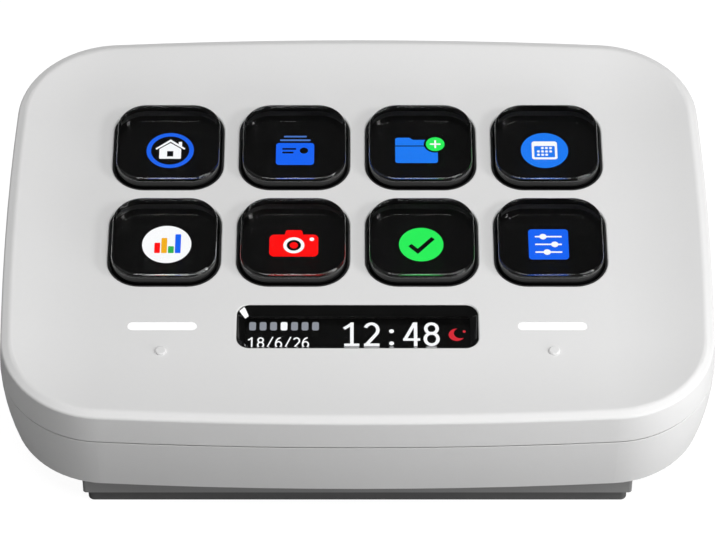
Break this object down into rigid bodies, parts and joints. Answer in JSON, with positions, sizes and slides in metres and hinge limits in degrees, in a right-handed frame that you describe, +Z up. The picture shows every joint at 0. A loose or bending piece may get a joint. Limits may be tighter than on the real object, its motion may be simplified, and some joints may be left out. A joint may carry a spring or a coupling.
{
  "type": "display keypad",
  "caption": "Tilted desk keypad with clear push keys over a display, a narrow status window, touch points beside it and a rear socket.",
  "frame": {"origin": "on the desk under the middle of the keypad", "axes": "+X to the right along the long side, +Y towards the rear where the socket is, +Z up from the desk"},
  "size_m": [0.1068, 0.0782, 0.026],
  "materials": {
    "shell_white": "fine satin texture",
    "foot_rubber": "matt silicone rubber",
    "cap_clear": "polished clear acrylic",
    "guide_black": "matt black",
    "membrane_black": "matt silicone",
    "film_dark": "printed film",
    "display_glass": "black display glass",
    "tray_white": "matt",
    "bezel_gloss": "polished black plastic",
    "lens_clear": "polished clear acrylic",
    "foam_black": "closed-cell foam",
    "light_guide": "milky diffuser",
    "board_green": "solder mask",
    "led_white": "moulded package",
    "chip_black": "moulded epoxy",
    "connector_beige": "moulded",
    "ribbon_amber": "polyimide film",
    "socket_steel": "drawn stainless shell",
    "tongue_black": "moulded",
    "contact_gold": "gold flash",
    "ballast_steel": "zinc plated",
    "screw_steel": "black zinc"
  },
  "bodies": {
    "root": {"top_cover": "shell_white", "bottom_case": "shell_white", "stand": "shell_white", "foot_pad": "foot_rubber", "key_guide_frame": "guide_black", "key_membrane": "membrane_black", "contact_film": "film_dark", "lcd_panel": "display_glass", "lcd_tray": "tray_white", "info_bezel": "bezel_gloss", "info_pane": "lens_clear", "pane_gasket": "foam_black", "light_bar_left": "light_guide", "light_bar_right": "light_guide", "touch_board_left": "board_green", "touch_board_right": "board_green", "touch_pad_left": "foam_black", "touch_pad_right": "foam_black", "status_leds": "led_white", "main_board": "board_green", "main_chip": "chip_black", "memory_chip": "chip_black", "board_passives": "chip_black", "board_connectors": "connector_beige", "display_ribbon": "ribbon_amber", "key_ribbon": "ribbon_amber", "touch_cables": "ribbon_amber", "usb_socket_shell": "socket_steel", "usb_socket_tongue": "tongue_black", "usb_contacts": "contact_gold", "ballast_plate": "ballast_steel", "case_screws": "screw_steel", "board_screws": "screw_steel", "tray_screws": "screw_steel", "stand_screws": "screw_steel"},
    "key_1": {"keycap_1": "cap_clear"},
    "key_2": {"keycap_2": "cap_clear"},
    "key_3": {"keycap_3": "cap_clear"},
    "key_4": {"keycap_4": "cap_clear"},
    "key_5": {"keycap_5": "cap_clear"},
    "key_6": {"keycap_6": "cap_clear"},
    "key_7": {"keycap_7": "cap_clear"},
    "key_8": {"keycap_8": "cap_clear"}
  },
  "joints": [
    {"name": "key_1_press", "type": "slide", "parent": "root", "child": "key_1", "axis": [0, 0.0436, -0.999], "range_m": [0, 0.0009], "stiffness_N_per_m": 600, "springref_m": -0.0005, "deforming": ["key_membrane"]},
    {"name": "key_2_press", "type": "slide", "parent": "root", "child": "key_2", "axis": [0, 0.0436, -0.999], "range_m": [0, 0.0009], "stiffness_N_per_m": 600, "springref_m": -0.0005, "deforming": ["key_membrane"]},
    {"name": "key_3_press", "type": "slide", "parent": "root", "child": "key_3", "axis": [0, 0.0436, -0.999], "range_m": [0, 0.0009], "stiffness_N_per_m": 600, "springref_m": -0.0005, "deforming": ["key_membrane"]},
    {"name": "key_4_press", "type": "slide", "parent": "root", "child": "key_4", "axis": [0, 0.0436, -0.999], "range_m": [0, 0.0009], "stiffness_N_per_m": 600, "springref_m": -0.0005, "deforming": ["key_membrane"]},
    {"name": "key_5_press", "type": "slide", "parent": "root", "child": "key_5", "axis": [0, 0.0436, -0.999], "range_m": [0, 0.0009], "stiffness_N_per_m": 600, "springref_m": -0.0005, "deforming": ["key_membrane"]},
    {"name": "key_6_press", "type": "slide", "parent": "root", "child": "key_6", "axis": [0, 0.0436, -0.999], "range_m": [0, 0.0009], "stiffness_N_per_m": 600, "springref_m": -0.0005, "deforming": ["key_membrane"]},
    {"name": "key_7_press", "type": "slide", "parent": "root", "child": "key_7", "axis": [0, 0.0436, -0.999], "range_m": [0, 0.0009], "stiffness_N_per_m": 600, "springref_m": -0.0005, "deforming": ["key_membrane"]},
    {"name": "key_8_press", "type": "slide", "parent": "root", "child": "key_8", "axis": [0, 0.0436, -0.999], "range_m": [0, 0.0009], "stiffness_N_per_m": 600, "springref_m": -0.0005, "deforming": ["key_membrane"]}
  ]
}
